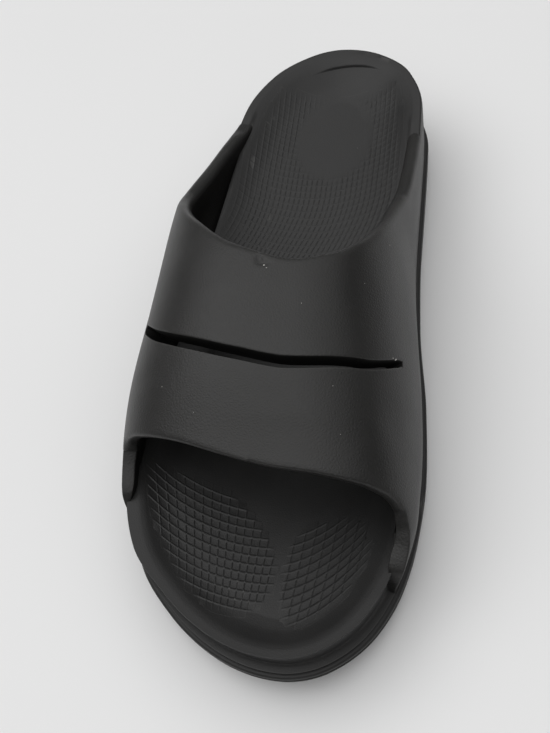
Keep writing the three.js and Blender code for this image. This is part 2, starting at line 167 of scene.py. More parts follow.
# The skin of the footbed from the middle of its base, up the side, over the rim and in to the
# middle. Inset is in rim insets plus bowls, centre is the share of the way to the middle line,
# and lean is how the flare of the rim hollows the side and pushes the crest out.
FOOTBED_PROFILE = Table(
    "step inset bowl centre rise fall lean",
    (0, 2.14, 0.00, 1.00, 0.000, 0.00, 0.0),
    (1, 2.14, 0.00, 0.00, 0.000, 0.00, 0.0),
    (2, 0.40, 0.00, 0.00, 0.000, 0.00, 0.0),
    (3, 0.40, 0.00, 0.00, 0.180, 0.00, -1.55),
    (4, 0.41, 0.00, 0.00, 0.860, 0.00, -1.05),
    (5, 0.45, 0.00, 0.00, 0.955, 0.00, -0.45),
    (6, 0.54, 0.00, 0.00, 0.990, 0.00, -0.25),
    (7, 0.68, 0.00, 0.00, 1.000, 0.00, 0.0),
    (8, 1.00, 0.00, 0.00, 1.000, 0.02, 0.3),
    (9, 1.35, 0.02, 0.00, 1.000, 0.07, 0.1),
    (10, 1.48, 0.14, 0.00, 1.000, 0.22, 0.0),
    (11, 1.50, 0.36, 0.00, 1.000, 0.52, 0.0),
    (12, 1.50, 0.64, 0.00, 1.000, 0.82, 0.0),
    (13, 1.50, 1.00, 0.00, 1.000, 1.00, 0.0),
    (14, 1.50, 1.00, 0.30, 1.000, 1.00, 0.0),
    (15, 1.50, 1.00, 0.65, 1.000, 1.00, 0.0),
    (16, 1.50, 1.00, 1.00, 1.000, 1.00, 0.0),
)

# The skin of the outsole from the middle underneath to the middle on top. Edge is in edge rounds,
# up is the share of the way from the ground to the seam, and belt is in belt heights below it.
OUTSOLE_PROFILE = Table(
    "step edge belt centre up under",
    (0, 2.00, 0.0, 1.0, 0.00, 0.0),
    (1, 2.00, 0.0, 0.0, 0.00, 0.0),
    (2, 1.00, 0.0, 0.0, 0.00, 0.0),
    (3, 0.42, 0.0, 0.0, 0.12, 0.0),
    (4, 0.12, 0.0, 0.0, 0.34, 0.0),
    (5, 0.03, 0.0, 0.0, 1.00, 2.5),
    (6, 0.03, 0.0, 0.0, 1.00, 2.3),
    (7, 0.03, 1.0, 0.0, 1.00, 2.0),
    (8, 0.03, 1.0, 0.0, 1.00, 1.4),
    (9, 0.00, 0.0, 0.0, 1.00, 1.1),
    (10, 0.00, 0.0, 0.0, 1.00, 0.80),
    (11, 0.07, 0.0, 0.0, 1.00, 0.32),
    (12, 0.35, 0.0, 0.0, 1.00, 0.0),
    (13, 2.00, 0.0, 0.0, 1.00, 0.0),
    (14, 2.00, 0.0, 1.0, 1.00, 0.0),
)

# Soft dents of the strap: place round it and along the shoe, half widths, and depth in walls.
SOFT_CREASES = (
    (0.36, 0.56, 0.060, 0.022, -0.05),
    (0.52, 0.63, 0.110, 0.020, 0.06),
    (0.30, 0.70, 0.070, 0.016, 0.04),
    (0.70, 0.60, 0.040, 0.040, 0.06),
    (0.78, 0.73, 0.045, 0.030, 0.05),
    (0.20, 0.52, 0.030, 0.050, 0.05),
    (0.60, 0.755, 0.130, 0.014, -0.04),
    (0.497, 0.573, 0.006, 0.006, 0.16),
    (0.507, 0.579, 0.010, 0.003, 0.10),
)

# Outlines of the two ribbed pads under the toes, in millimetres.
SMALL_TOE_PAD = (
    (-47.3, -68.8), (-30.0, -74.5), (-12.3, -80.6), (-4.0, -88.0), (3.6, -97.0), (7.5, -105.9),
    (7.9, -114.5), (4.8, -121.4), (-1.0, -125.8), (-11.0, -125.3), (-20.5, -118.9),
    (-29.4, -108.9), (-37.3, -96.5), (-43.9, -83.6),
)
BIG_TOE_PAD = (
    (11.3, -96.8), (17.5, -91.0), (27.5, -87.3), (36.2, -87.0), (38.8, -95.8), (37.0, -104.9),
    (32.2, -115.4), (24.9, -124.0), (19.0, -128.3), (13.1, -126.9), (10.3, -119.5),
    (10.3, -107.5),
)

# How the ribs of each patch lie: pitch across and along in millimetres, their width in rib widths,
# the bow of the cross ribs, the heights of the long and cross ribs, and how fast the long ribs
# draw together towards the toe from the pads' start.
RIB_LAYOUTS = {
    "small_toe_ribs": {
        "across": 3.7, "along": 3.3, "wide": 1.0, "bow": 0.0077, "long": 0.7, "cross": 1.0,
        "gather": 0.007},
    "big_toe_ribs": {
        "across": 3.7, "along": 3.3, "wide": 1.0, "bow": 0.0197, "long": 0.7, "cross": 1.0,
        "gather": 0.003},
    "heel_ribs": {
        "across": 2.2, "along": 3.6, "wide": 0.85, "bow": 0.0078, "long": 1.0, "cross": 0.85},
}
RIB_MIDDLE, PAD_START = 3, -70

# A rib's section: place across it in rib widths, and height as a share of the rib's.
RIB_SECTION = ((-0.85, 0.0), (-0.45, 0.12), (0.0, 1.0), (0.45, 0.12), (0.85, 0.0))

# How far outside its outline a ribbed skin dips, and how far it reaches, in millimetres.
RIB_DIP, RIB_REACH = 1.2, 2.0

# The heel field's ends along the shoe, its margin in millimetres, wider round the heel, the height
# of its ribs as a share of the pads', and how its long ribs bend and then lean under the arch.
HEEL_FIELD = {
    "start": 0.088, "end": 0.49, "margin": 8.2, "wider": 2.5, "relief": 0.6, "bend": 0.0075,
    "lean": 0.39}
SMOOTH_OVAL = {"x": 0.0225, "along": 0.180, "half_x": 0.140, "half_y": 0.207}
HEEL_ARC = {"x": 0.0474, "along": 0.147, "radius": 0.273, "spread": 33, "depth": 0.0075}

# The section of the heel's crescent step, outwards in millimetres, and up as a share of its depth.
ARC_PROFILE = (
    (-0.9, 0.0), (-0.35, 0.0), (-0.12, 0.25), (0.15, 0.85), (0.4, 1.0), (1.0, 0.97), (2.2, 0.80),
    (4.0, 0.45), (6.0, 0.15), (8.0, 0.0), (9.0, 0.0),
)

# The support under the medial arch: its middle and half length along the shoe, the share of the
# ball width over which it comes in, and its height.
ARCH_SUPPORT = {"along": 0.385, "long": 0.15, "wide": 0.36, "height": 0.0055}

# The strap's rear tails: where along the shoe they leave the rim and end, the height that they
# have free over the rim, and how fast it grows.
TAILS = {"leave": 0.176, "end": 0.27, "free": 0.03, "rise": 9.5, "over": 0.06}

# The front edge's squareness where it is cut and how much rounder it rolls, and where round the
# strap it changes.
FRONT_EDGE = {"cut": 0.28, "rolled": 0.27, "lateral": (0.13, 0.165), "medial": (0.82, 0.85)}

# Where the collar's band begins on the rim at each side, and where it is whole, along the shoe.
COLLAR_BAND = {"lateral": (0.136, 0.160), "medial": (0.160, 0.186)}

# The band's inner edge on the rim.
BAND_EDGE = (5.4 * MM, 7.6 * MM)

# Where the footbed's side is set back behind the strap, along the shoe at each side, and how far.
SET_BACK = {"lateral": (0.205, 0.225, 0.755, 0.775), "medial": (0.215, 0.235, 0.825, 0.850)}
SET_BACK_INSET = 6.5 * MM

# The two stretches of tread along the shoe, and how far a groove bows.
TREAD = ((0.10, 0.33), (0.545, 0.93))
TREAD_BOW = 0.007

# Specks of pale dust: place in ball widths and along the shoe, and size in millimetres.
DUST_SPECKS = (
    (-0.029, 0.582, 0.75), (-0.02, 0.586, 0.45), (0.324, 0.494, 0.5), (0.369, 0.649, 0.85),
    (0.362, 0.651, 0.5), (0.339, 0.671, 0.34), (0.1, 0.63, 0.35), (-0.32, 0.72, 0.4),
    (-0.2, 0.755, 0.3), (0.21, 0.72, 0.3), (0.02, 0.1, 0.3), (0.16, 0.3, 0.3),
    (-0.15, 0.37, 0.3), (0.24, 0.77, 0.28), (0.27, 0.58, 0.32), (-0.04, 0.26, 0.26),
    (0.12, 0.205, 0.24),
)

SPECK_FLATNESS = 0.45

# Each finish: its colour and a tint on it, how much rougher than the strap, dust, rubbed edges,
# cells of grain per chosen cell, fine and slow relief, their depth in metres, and sheen.
FINISH_COLUMNS = "colour tint rougher dusting rub cells fine waves depth sheen".split()
FINISHES = {name: dict(zip(FINISH_COLUMNS, row)) for name, *row in (
    ("strap_foam", "strap_colour", 1.0, 0.0, 0.003, 0.5, 1.0, 0.5, 2.2, 0.000045, 0.36),
    # The slot's walls are a darker, rougher, duller copy of the strap foam: painted shade for the
    # shadow inside the slot.
    ("slot_foam", "strap_colour", 0.45, 0.25, 0.001, 0.0, 1.0, 0.5, 1.0, 0.00001, 0.10),
    ("footbed_foam", "footbed_colour", 1.0, 0.06, 0.004, 0.4, 1.4, 0.5, 1.5, 0.000025, 0.36),
    ("outsole_foam", "outsole_colour", 1.0, 0.03, 0.004, 0.5, 1.2, 0.4, 1.2, 0.000025, 0.32),
    ("dust_fleck", "dust_colour", 1.0, 0.42, 0.0, 0.0, 2.2, 0.5, 0.2, 0.00003, 0.2),
)}

# The camera at the photographed angle, and the lamps: name, place, size and power.
CAMERA = {
    "lens": 46.256, "place": (0.07502, -0.22281, 0.32117), "turn": (34.3202, 9.5597, 8.4125)}
LAMPS = (
    ("front_panel", (0.05, -0.40, 1.55), 0.8, 2.0),
    ("side_panel", (-0.85, 0.10, 1.20), 1.0, 2.5),
)

# The room: where its ceiling begins, its levels below and above, how they grow towards the back
# and the side, and the least that the camera sees.
ROOM = {
    "edge": (0.46, 0.66), "levels": (0.04, 1.0), "middle": 1.16, "back": 0.30, "side": -0.50,
    "seen": 0.85}


def metres(name, description, default):
    """A length that a user can change."""
    return bpy.props.FloatProperty(
        name=name, description=description, default=default, unit="LENGTH")


def paint(name, description, default):
    """A colour that a user can change."""
    return bpy.props.FloatVectorProperty(
        name=name, description=description, default=default, subtype="COLOR", size=3, min=0, max=1)


class SandalSizes(bpy.types.PropertyGroup):
    """The sizes that the whole sandal is drawn from."""

    length: metres("Length", "Outside length from heel to toe", SOLE_HIGH.y - SOLE_LOW.y)
    ball_width: metres("Ball width", "Width that the outline and the strap are drawn in", 0.111)
    rim_height: metres("Rim height", "Floor to the top of the heel rim", 0.041)
    strap_height: metres("Strap height", "Floor to the top of the strap at its back edge", 0.082)
    strap_wall: metres("Strap wall", "Full thickness of the strap", 0.0058)
    slot_width: metres("Slot width", "Width of the slot across the strap", 0.0036)
    slot_lean: metres("Slot lean", "How far the slot leans to the toe through the wall", 0.0017)
    foot_round: metres("Foot round", "Rounding of the strap's edges down at its feet", 0.0004)
    glue_gap: metres("Gap", "Clearance between bonded pieces", 0.0003)
    seat_gap: metres("Seat gap", "Hairline between the strap and the footbed", 0.00006)
    lip_proud: metres("Lip", "How far the outsole lip stands out", 0.0016)
    rim_inset: metres("Rim inset", "Outline to the crest of the rim", 0.0042)
    edge_round: metres("Sole edge", "Rounded lower edge of the outsole", 0.0045)
    belt_depth: metres("Belt depth", "Depth of the groove round the side", 0.0008)
    belt_height: metres("Belt height", "Height unit of the groove round the side", 0.0016)
    tread_depth: metres("Tread depth", "Depth of the tread grooves", 0.0024)
    tread_groove: metres("Tread groove", "Width of a tread groove", 0.0032)
    tread_pitch: metres("Tread pitch", "Spacing of the tread grooves", 0.0115)
    tread_border: metres("Tread border", "Uncut margin round the tread", 0.009)
    rib_height: metres("Rib height", "Height of the moulded ribs on the footbed", 0.00034)
    rib_width: metres("Rib width", "Width of a moulded rib", 0.00075)


class SandalLook(bpy.types.PropertyGroup):
    """The colours and finishes that a user would change."""

    strap_colour: paint("Strap", "Colour of the strap", (0.0140, 0.0136, 0.0130))
    footbed_colour: paint("Footbed", "Colour of the footbed", (0.0150, 0.0148, 0.0146))
    outsole_colour: paint("Outsole", "Colour of the outsole", (0.0125, 0.0123, 0.0121))
    dust_colour: paint("Dust", "Colour of dust and scuffs", (0.42, 0.41, 0.39))
    floor_colour: paint("Floor", "Colour of the floor", (0.80, 0.80, 0.80))
    grain_cell: metres("Grain", "Size of one cell of the leather grain", 0.0011)
    gloss: bpy.props.FloatProperty(
        name="Roughness", description="Roughness of the strap", default=0.43, min=0, max=1)


def smooth(value, low, high):
    """A smooth step from 0 at low to 1 at high."""
    t = np.clip((np.asarray(value, float) - low) / (high - low), 0, 1)
    return t * t * (3 - 2 * t)


def unit(vectors):
    """Vectors of length one."""
    return vectors / np.maximum(np.linalg.norm(vectors, axis=-1, keepdims=True), 1e-12)


class Last:
    """The surfaces that every piece of the sandal is cut from."""

    def __init__(self, sizes):
        self.sizes = sizes
        self.shift = 0.0
        edge = self.outline(np.linspace(0, 360, 1441))[..., 0]
        self.shift = -(edge.max() + edge.min()) / 2
        self.stations = np.linspace(self.y_of(0.93), self.y_of(0.15), 150)
        angles = np.linspace(0, 180, 181)
        hoops = self.arch(self.stations[:, None], angles[None, :])
        steps = np.linalg.norm(np.diff(hoops, axis=1), axis=2)
        girth = np.concatenate([np.zeros((len(steps), 1)), np.cumsum(steps, axis=1)], axis=1)
        self.shares = np.linspace(0, 1, 601)
        self.angles = np.stack([np.interp(self.shares, g / g[-1], angles) for g in girth])

    def along(self, y):
        return 0.5 - y / self.sizes.length

    def y_of(self, along):
        return (0.5 - np.asarray(along, float)) * self.sizes.length

    def x_of(self, share):
        return share * self.sizes.ball_width + self.shift

    def sole(self, column, y):
        return self.sizes.rim_height * SOLE.read(column, self.along(y))

    def outline(self, turn):
        """Points of the widest outline; turn runs from the heel down the lateral side."""
        turn = np.mod(turn, 360.0)
        medial = turn > 180
        half = np.where(medial, 360 - turn, turn)
        side = np.where(medial, OUTLINE.read("medial", half), -OUTLINE.read("lateral", half))
        y = self.sizes.length / 2 * np.cos(np.radians(half))
        return np.stack([self.x_of(side), y], -1)

    def outline_normal(self, turn):
        ahead = self.outline(turn + 0.5) - self.outline(turn - 0.5)
        return unit(np.stack([ahead[..., 1], -ahead[..., 0]], -1))

    def inset(self, turn, amount):
        amount = np.asarray(amount, float)[..., None]
        return self.outline(turn) - self.outline_normal(turn) * amount

    def spine(self, turn):
        """Points of the middle line that the faces close on."""
        middle = (self.outline(turn) + self.outline(360 - turn)) / 2
        short = 0.026
        return middle * np.array([1.0, 1 - 2 * short / self.sizes.length])

    def side_x(self, y, inset, medial):
        half = np.degrees(np.arccos(np.clip(2 * y / self.sizes.length, -1, 1)))
        turn = np.where(medial, 360 - half, half)
        return self.outline(turn)[..., 0] - inset / self.outline_normal(turn)[..., 0]

    def footbed(self, x, y):
        """Height of the footbed with its support under the medial arch."""
        along = (self.along(y) - ARCH_SUPPORT["along"]) / ARCH_SUPPORT["long"]
        across = smooth(x - self.shift, 0, ARCH_SUPPORT["wide"] * self.sizes.ball_width)
        return self.sole("footbed", y) + ARCH_SUPPORT["height"] * across * np.exp(-along * along)

    def arch(self, y, angle):
        """Points of the strap's outer arch; angle runs from the lateral foot to the medial."""
        y, angle = np.broadcast_arrays(np.asarray(y, float), np.asarray(angle, float))
        along = self.along(y)
        medial = angle > 90
        bend = np.radians(np.where(medial, 180 - angle, angle))
        square = np.where(
            medial, ARCH.read("square_medial", along), ARCH.read("square_lateral", along))
        half = np.where(medial, ARCH.read("medial", along), -ARCH.read("lateral", along))
        base = self.sole("seam", y) + self.sizes.glue_gap
        top = ARCH.read("top", along) * self.sizes.strap_height
        z = base + (top - base) * np.clip(np.sin(bend), 0, 1) ** (2 / square)
        reach = half * np.clip(np.cos(bend), 0, 1) ** (2 / square)
        x = self.x_of(ARCH.read("ridge", along) + reach)
        side = self.side_x(y, self.sizes.lip_proud, medial)
        over_rim = 0.008
        blend = smooth((z - base) / (self.sole("rim", y) + over_rim - base), 0, 1)
        return np.stack([side + (x - side) * blend, y, z], -1)

    def strap(self, y, around):
        """Points of the strap by their share of its girth."""
        y, around = np.broadcast_arrays(np.asarray(y, float), np.asarray(around, float))
        row = np.interp(y, self.stations, np.arange(len(self.stations)))
        low = np.clip(row.astype(int), 0, len(self.stations) - 2)
        column = np.clip(around, 0, 1) * (len(self.shares) - 1)
        left = np.clip(column.astype(int), 0, len(self.shares) - 2)
        a, b = row - low, column - left
        angle = (
            self.angles[low, left] * (1 - a) * (1 - b) + self.angles[low + 1, left] * a * (1 - b)
            + self.angles[low, left + 1] * (1 - a) * b + self.angles[low + 1, left + 1] * a * b
        )
        return self.arch(y, angle)

    def strap_normal(self, y, around):
        step = 0.01
        high, low = np.minimum(around + step, 1), np.maximum(around - step, 0)
        across = self.strap(y, high) - self.strap(y, low)
        lengthwise = self.strap(y - MM, around) - self.strap(y + MM, around)
        return unit(np.cross(lengthwise, across))

    def wall(self, y, around):
        along = self.along(y)
        share = np.where(around < 0.5, WALL.read("lateral", along), WALL.read("medial", along))
        return self.sizes.strap_wall * share

    def strap_edge(self, around, column, direction, gap):
        """Where the rounded edge of the strap starts, its middle, its roll and its outward way."""
        tip = self.y_of(EDGES.read(column, around))
        near_foot = smooth(np.minimum(around, 1 - around), 0.05, 0.14)
        roll = self.sizes.foot_round * (1 - near_foot) + self.wall(tip, around) / 2 * near_foot
        high, low = np.minimum(around + 0.004, 1), np.maximum(around - 0.004, 0)
        run = unit(
            self.strap(self.y_of(EDGES.read(column, high)), high)
            - self.strap(self.y_of(EDGES.read(column, low)), low)
        )
        outward = unit(np.cross(run, self.strap_normal(tip, around)))
        outward = outward * np.sign(outward[..., 1:2] * direction)
        start = tip - direction * roll / np.maximum(np.abs(outward[..., 1]), 0.3)
        normal = self.strap_normal(start, around)
        half = self.wall(start, around) / 2
        middle = self.strap(start, around) - normal * half[..., None]
        return start, middle, normal, outward, half + gap, roll + gap

    def front_squareness(self, around):
        """1 where the front edge is rolled, small where it ends in a flat cut face."""
        lateral = smooth(around, *FRONT_EDGE["lateral"])
        medial = 1 - smooth(around, *FRONT_EDGE["medial"])
        return FRONT_EDGE["cut"] + FRONT_EDGE["rolled"] * np.minimum(lateral, medial)

    def dents(self, around, along):
        """Soft creases of the strap, outward positive, in metres."""
        total = np.zeros(np.broadcast(around, along).shape)
        for at_around, at_along, wide, long, depth in SOFT_CREASES:
            far = ((around - at_around) / wide) ** 2 + ((along - at_along) / long) ** 2
            total = total - depth * self.sizes.strap_wall * np.exp(-far)
        return total


def lattice(points):
    """A bmesh grid whose corners are moved to the given points, with their places kept as UVs."""
    columns, rows = points.shape[0] - 1, points.shape[1] - 1
    mesh = bmesh.new()
    bmesh.ops.create_grid(mesh, x_segments=columns, y_segments=rows, size=1, calc_uvs=False)
    layer = mesh.loops.layers.uv.new("Places")
    for face in mesh.faces:
        for loop in face.loops:
            loop[layer].uv = ((loop.vert.co.x + 1) / 2, (loop.vert.co.y + 1) / 2)
    for vert in mesh.verts:
        place = points[round((vert.co.x + 1) / 2 * columns), round((vert.co.y + 1) / 2 * rows)]
        vert.co = place
    return mesh


def weld(mesh, distance=1e-6):
    """Merges corners that share a place and turns every face outwards."""
    bmesh.ops.remove_doubles(mesh, verts=mesh.verts[:], dist=distance)
    bmesh.ops.dissolve_degenerate(mesh, edges=mesh.edges[:], dist=distance)
    bmesh.ops.recalc_face_normals(mesh, faces=mesh.faces[:])


def piece_from(mesh, name, smooth_angle=None):
    """A new object from a bmesh, smooth except at edges sharper than the given angle."""
    data = bpy.data.meshes.new(name)
    mesh.to_mesh(data)
    mesh.free()
    if smooth_angle is not None:
        data.shade_smooth()
        data.set_sharp_from_angle(angle=math.radians(smooth_angle))
    piece = bpy.data.objects.new(name, data)
    bpy.context.scene.collection.objects.link(piece)
    return piece


def cut(piece, cutter, smooth_angle):
    """Cuts one piece's shape out of another for good."""
    change = piece.modifiers.new("Cut", "BOOLEAN")
    change.operation = "DIFFERENCE"
    change.solver = "EXACT"
    change.object = cutter
    graph = bpy.context.evaluated_depsgraph_get()
    data = bpy.data.meshes.new_from_object(piece.evaluated_get(graph))
    piece.modifiers.clear()
    piece.data = data
    data.shade_smooth()
    data.set_sharp_from_angle(angle=math.radians(smooth_angle))
    bpy.data.objects.remove(cutter)


def dress(piece, finish, slot, *nodes):
    """Gives a piece its material, its body and the nodes that it stands for; the slot argument is
    not used.
    """
    piece.data.materials.append(foam(finish))
    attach(piece, "root")
    if nodes:
        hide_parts(*nodes)


def shape():
    return Last(bpy.context.scene.sandal_sizes)


STRAP_AROUND, FRONT_ROWS, BACK_ROWS, ROLL_ROWS = 250, 30, 44, 10


def strap_loops(last, gap=0.0, sunk=0.0):
    """Loops round the strap's wall, from the front edge over the outside and back inside."""
    around = np.linspace(0, 1, STRAP_AROUND + 1)
    front = last.strap_edge(around, "front", -1, gap)
    rear = last.strap_edge(around, "back", 1, gap)
    place = around[:, None]
    y = slot_rows(last, place, front[0][:, None], rear[0][:, None])
    surface = last.strap(y, place)
    normal = last.strap_normal(y, place)
    dent = last.dents(place, last.along(y))[..., None]
    outer = surface + normal * (gap + dent)
    slot_reach = 6 * MM
    from_slot = (y - last.y_of(SLOT.read("along", place))) / slot_reach
    under = y - last.sizes.slot_lean * np.exp(-from_slot * from_slot)
    thickness = last.wall(under, place)[..., None] + gap - dent * 0.6
    inner = (last.strap(under, place) - last.strap_normal(under, place) * thickness)[:, ::-1]
    angles = np.pi * np.arange(1, ROLL_ROWS) / ROLL_ROWS

    def roll(edge, side, power):
        _, middle, across, outward, half, round_over = edge
        c, s = np.cos(angles)[None, :], np.sin(angles)[None, :]
        c = (np.sign(c) * np.abs(c) ** power[:, None])[..., None]
        s = (np.abs(s) ** power[:, None])[..., None]
        return (
            middle[:, None] + side * across[:, None] * half[:, None, None] * c
            + outward[:, None] * round_over[:, None, None] * s
        )

    rear_roll = roll(rear, 1, np.full(len(around), 0.9))
    front_roll = roll(front, -1, last.front_squareness(around))
    loops = np.concatenate([outer, rear_roll, inner, front_roll, outer[:, :1]], axis=1)
    along = last.along(loops[..., 1])
    risen = np.clip((along - TAILS["leave"]) / TAILS["over"], 0, None) ** 2
    crest = last.sole("rim", loops[..., 1]) + (TAILS["free"] + TAILS["rise"] * risen) * MM + gap
    on_tail = along < TAILS["end"]
    loops[..., 2] = np.where(on_tail, np.minimum(loops[..., 2], crest), loops[..., 2])
    for end in (0, -1):
        loops[end, :, 2] = last.sole("seam", loops[end, :, 1]) + last.sizes.glue_gap - sunk
    return loops


def close_ends(mesh):
    """Fills the open feet of a wall."""
    rim = [edge for edge in mesh.edges if edge.is_boundary]
    bmesh.ops.edgeloop_fill(mesh, edges=rim)


def tube(points):
    """A wall whose first and last rows meet, with its feet filled."""
    mesh = lattice(points)
    bmesh.ops.remove_doubles(mesh, verts=mesh.verts[:], dist=1e-7)
    close_ends(mesh)
    return mesh


def slot_rows(last, around, front, rear):
    """Rows from the front edge to the rear that follow the slot, with the slot between two."""
    middle = last.y_of(SLOT.read("along", around))
    in_slot = (around > SLOT.keys[0]) & (around < SLOT.keys[-1])
    opening = last.sizes.slot_width / 2 * np.where(in_slot, SLOT.read("open", around), 0.5)
    low, high = middle - opening, middle + opening
    first = np.linspace(0, 1, FRONT_ROWS + 1)[None, :]
    second = np.linspace(0, 1, BACK_ROWS + 1)[None, :]
    return np.concatenate([front + (low - front) * first, high + (rear - high) * second], axis=1)


class SANDAL_OT_strap(bpy.types.Operator):
    """Builds the one-piece strap with rolled edges and the slot across it"""

    bl_idname = "sandal.strap"
    bl_label = "Strap"

    def execute(self, context):
        loops = strap_loops(shape())
        mesh = tube(loops)
        layer = mesh.loops.layers.uv["Places"]
        count = loops.shape[1] - 1
        inner = FRONT_ROWS + BACK_ROWS + 1 + ROLL_ROWS + BACK_ROWS
        slot_places = [(row + 0.5) / count for row in (FRONT_ROWS, inner)]
        opened = []
        for face in mesh.faces:
            u = sum(loop[layer].uv.x for loop in face.loops) / 4
            v = sum(loop[layer].uv.y for loop in face.loops) / 4
            in_row = min(abs(v - place) for place in slot_places) < 0.2 / count
            if in_row and SLOT.keys[0] < u < SLOT.keys[-1]:
                opened.append(face)
        bmesh.ops.delete(mesh, geom=opened, context="FACES")
        lips = [edge for edge in mesh.edges if edge.is_boundary]
        bridge = bmesh.ops.bridge_loops(mesh, edges=lips)
        walls = set(bridge["faces"])
        # The slot's walls take the second, darker material: painted shade inside the slot.
        for face in walls:
            face.material_index = 1
            face.smooth = False
        rims = [e for e in mesh.edges if sum(f in walls for f in e.link_faces) == 1]
        bmesh.ops.bevel(
            mesh, geom=rims, offset=0.0005, offset_type="OFFSET", segments=2, profile=0.5,
            affect="EDGES", material=-1, clamp_overlap=True)
        weld(mesh)
        piece = piece_from(mesh, "strap", 50)
        dress(piece, "strap_foam", "upper", "upper")
        piece.data.materials.append(foam("slot_foam"))
        return {"FINISHED"}


def ring_skin(last, table, per_step, turns, place):
    """Points of a closed skin of rings, from the middle underneath to the middle on top."""
    steps = np.linspace(table.keys[0], table.keys[-1], int(table.keys[-1]) * per_step + 1)
    turn = np.linspace(0, 360, turns + 1)
    return place(last, table, turn[:, None], steps[None, :])


def footbed_point(last, table, turn, step):
    """The footbed's skin, with the collar's band on its rim."""
    sizes = last.sizes
    where = last.along(last.outline(turn)[..., 1])
    bowl = SOLE.read("bowl", where) * sizes.ball_width
    lean = SOLE.read("flare", where) * table.read("lean", step)
    lean = lean + np.where(turn < 180, SOLE.read("spread", where), 0) * (1 - smooth(step, 7, 9))
    inset = (table.read("inset", step) - lean) * sizes.rim_inset
    inset = inset + table.read("bowl", step) * bowl
    behind = np.where(turn < 180, set_back(where, "lateral"), set_back(where, "medial"))
    plan = last.inset(turn, np.maximum(inset, inset + (SET_BACK_INSET - inset) * behind))
    centre = table.read("centre", step)[..., None]
    plan = plan + (last.spine(turn) - plan) * centre
    x, y = plan[..., 0], plan[..., 1]
    seat = last.sole("seam", y) + sizes.glue_gap
    rim = last.sole("rim", y)
    rise, fall = table.read("rise", step), table.read("fall", step)
    lateral, medial = (smooth(where, *COLLAR_BAND[side]) for side in ("lateral", "medial"))
    band = np.where(turn < 180, lateral, medial) * (1 - smooth(inset, *BAND_EDGE))
    fall = fall * (1 - band * (where < 0.3))
    z = seat + rise * (rim - seat) - fall * (rim - last.footbed(x, y))
    return np.stack([x, y, z], -1)


def set_back(along, side):
    """1 where the footbed's side stands behind the strap, 0 where it shows."""
    first, second, third, fourth = SET_BACK[side]
    return smooth(along, first, second) * (1 - smooth(along, third, fourth))


class SANDAL_OT_footbed(bpy.types.Operator):
    """Builds the footbed with its rim and cuts the strap's seat into its sides"""

    bl_idname = "sandal.footbed"
    bl_label = "Footbed"

    def execute(self, context):
        last = shape()
        mesh = lattice(ring_skin(last, FOOTBED_PROFILE, 5, 420, footbed_point))
        weld(mesh)
        piece = piece_from(mesh, "footbed", 40)
        cutter = tube(strap_loops(last, last.sizes.seat_gap, MM))
        weld(cutter)
        cut(piece, piece_from(cutter, "seat"), 40)
        dress(piece, "footbed_foam", "midsole", "midsole")
        return {"FINISHED"}


def outsole_point(last, table, turn, step):
    """The outsole's skin with its belt groove and lip."""
    sizes = last.sizes
    inset = table.read("edge", step) * sizes.edge_round
    plan = last.inset(turn, inset + table.read("belt", step) * sizes.belt_depth)
    centre = table.read("centre", step)[..., None]
    plan = plan + (last.spine(turn) - plan) * centre
    y = plan[..., 1]
    ground, seam = last.sole("ground", y), last.sole("seam", y)
    z = ground + table.read("up", step) * (seam - ground)
    return np.stack([plan[..., 0], y, z - table.read("under", step) * sizes.belt_height], -1)


def groove_points(last, y):
    """One curved tread groove, as a bar to cut with."""
    sizes = last.sizes
    share = np.linspace(0, 1, 33)[:, None]
    half = np.degrees(np.arccos(np.clip(2 * y / sizes.length, -1, 1)))
    left = last.inset(np.array(half), sizes.tread_border)[..., 0]
    right = last.inset(np.array(360 - half), sizes.tread_border)[..., 0]
    middle = y - TREAD_BOW * np.sin(np.pi * share) + TREAD_BOW / 2
    ground = last.sole("ground", middle)
    lean = np.array([[-0.8, -1 / 3, 1 / 3, 0.8, -0.8]]) * sizes.tread_groove
    lift = np.array([[-1, 1, 1, -1, -1]]) * sizes.tread_depth
    x = left + (right - left) * share + 0 * lean
    return np.stack([x, middle + lean, ground + lift], -1)


class SANDAL_OT_outsole(bpy.types.Operator):
    """Builds the outsole with its lip, belt groove and curved tread grooves"""

    bl_idname = "sandal.outsole"
    bl_label = "Outsole"

    def execute(self, context):
        last = shape()
        mesh = lattice(ring_skin(last, OUTSOLE_PROFILE, 3, 360, outsole_point))
        weld(mesh)
        piece = piece_from(mesh, "outsole_unit", 40)
        cutter = bmesh.new()
        pitch = last.sizes.tread_pitch
        for start, end in TREAD:
            for y in np.arange(last.y_of(start), last.y_of(end) - 1e-6, -pitch):
                bar = tube(groove_points(last, y))
                bmesh.ops.recalc_face_normals(bar, faces=bar.faces[:])
                data = bpy.data.meshes.new("bar")
                bar.to_mesh(data)
                bar.free()
                cutter.from_mesh(data)
                bpy.data.meshes.remove(data)
        cut(piece, piece_from(cutter, "tread"), 40)
        dress(piece, "outsole_foam", "outsole", "outsole")
        return {"FINISHED"}


def surface_finder(name):
    """A way to find the height of a piece's surface under a point."""
    data = bpy.data.objects[name].data
    tree = BVHTree.FromPolygons([v.co for v in data.vertices], [p.vertices for p in data.polygons])

    def height(x, y, start=0.06):
        hit = tree.ray_cast(Vector((x, y, start)), Vector((0, 0, -1)))[0]
        return None if hit is None else hit.z

    return height


def rib_stops(first, last_place, pitch, width):
    """Places of the corners across evenly spaced ribs, and how high each stands."""
    stops, heights = [], []
    for middle in np.arange(first, last_place, pitch):
        for offset, height in RIB_SECTION:
            stops.append(middle + offset * width)
            heights.append(height)
    return np.array(stops), np.array(heights)


